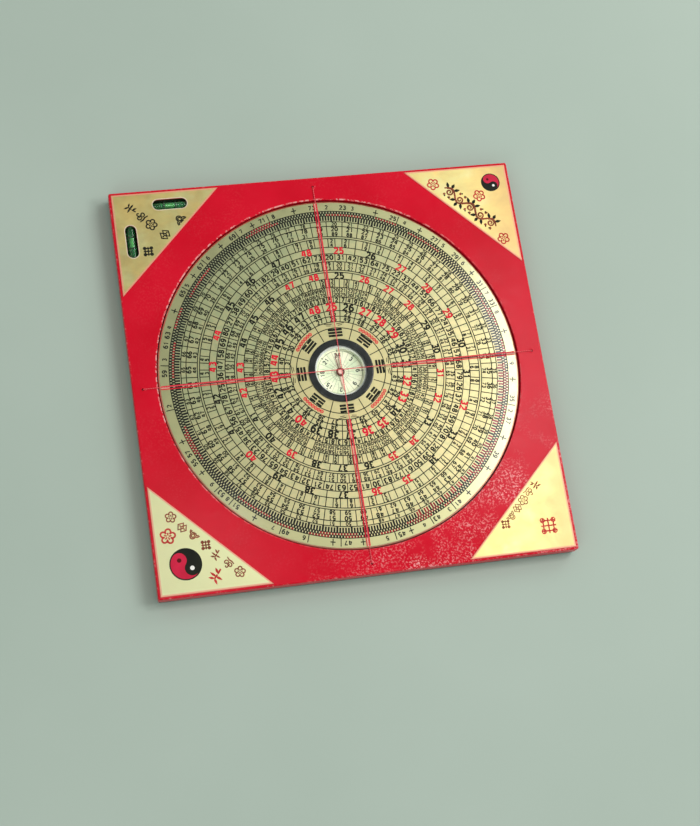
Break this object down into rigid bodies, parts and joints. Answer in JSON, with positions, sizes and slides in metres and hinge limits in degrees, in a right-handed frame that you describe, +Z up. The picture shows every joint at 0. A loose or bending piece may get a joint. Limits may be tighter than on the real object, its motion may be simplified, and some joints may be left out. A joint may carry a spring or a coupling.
{
  "type": "feng shui compass",
  "caption": "Square board compass with a round ringed dial that turns in it, a needle capsule at the centre, cross threads over the dial and corner plates with tube levels.",
  "frame": {"origin": "centre of the board's underside, on the dial's axis", "axes": "+Z up out of the dial, +Y to the board's edge beside the level that lies across, +X to the right of +Y seen from above"},
  "size_m": [0.25, 0.25, 0.0122],
  "materials": {
    "red_lacquer": "gloss lacquer",
    "black_lacquer": "satin lacquer",
    "printed_brass": "satin, printed",
    "corner_brass": "satin, mottled",
    "bare_brass": "polished",
    "steel": "plated",
    "black_enamel": "gloss enamel",
    "cup_aluminium": "turned",
    "core_wood": "plain",
    "pale_ring": "gloss",
    "capsule_card": "printed, matt",
    "clear_glass": "clear",
    "vial_glass": "clear",
    "vial_liquid": "green, clear",
    "vial_air": "clear",
    "plug_black": "matt",
    "needle_paint": "satin",
    "collar_bronze": "satin",
    "jewel_pink": "gloss",
    "red_thread": "twisted"
  },
  "bodies": {
    "board": {"base_board": "black_lacquer", "base_screws": "steel", "red_panel": "red_lacquer", "corner_plate_upper_left": "corner_brass", "corner_plate_upper_right": "corner_brass", "corner_plate_lower_right": "corner_brass", "corner_plate_lower_left": "corner_brass", "centre_bush": "bare_brass", "cross_thread_x": "red_thread", "cross_thread_y": "red_thread", "thread_ferrules": "bare_brass", "vial_tube_across": "vial_glass", "vial_plugs_across": "plug_black", "vial_liquid_across": "vial_liquid", "vial_tube_along": "vial_glass", "vial_plugs_along": "plug_black", "vial_liquid_along": "vial_liquid"},
    "dial": {"dial_core": "core_wood", "dial_face": "printed_brass", "capsule_cup": "cup_aluminium", "capsule_card": "capsule_card", "card_spacer_ring": "pale_ring", "capsule_glass": "clear_glass", "capsule_bezel": "black_enamel", "pivot_pin": "steel", "retaining_washer": "steel", "retaining_screw": "steel"},
    "needle": {"needle_jewel": "jewel_pink", "needle_collar": "collar_bronze", "needle_blade": "needle_paint"},
    "bubble_across": {"vial_bubble_across": "vial_air"},
    "bubble_along": {"vial_bubble_along": "vial_air"}
  },
  "joints": [
    {"name": "dial_turn", "type": "hinge", "parent": "board", "child": "dial", "pos_m": [0, 0, 0], "axis": [0, 0, 1], "continuous": true},
    {"name": "needle_swing", "type": "hinge", "parent": "dial", "child": "needle", "pos_m": [0, 0, 0], "axis": [0, 0, 1], "continuous": true},
    {"name": "bubble_across_slide", "type": "slide", "parent": "board", "child": "bubble_across", "axis": [1, 0, 0], "range_m": [-0.005, 0.005]},
    {"name": "bubble_along_slide", "type": "slide", "parent": "board", "child": "bubble_along", "axis": [0, 1, 0], "range_m": [-0.005, 0.005]}
  ]
}
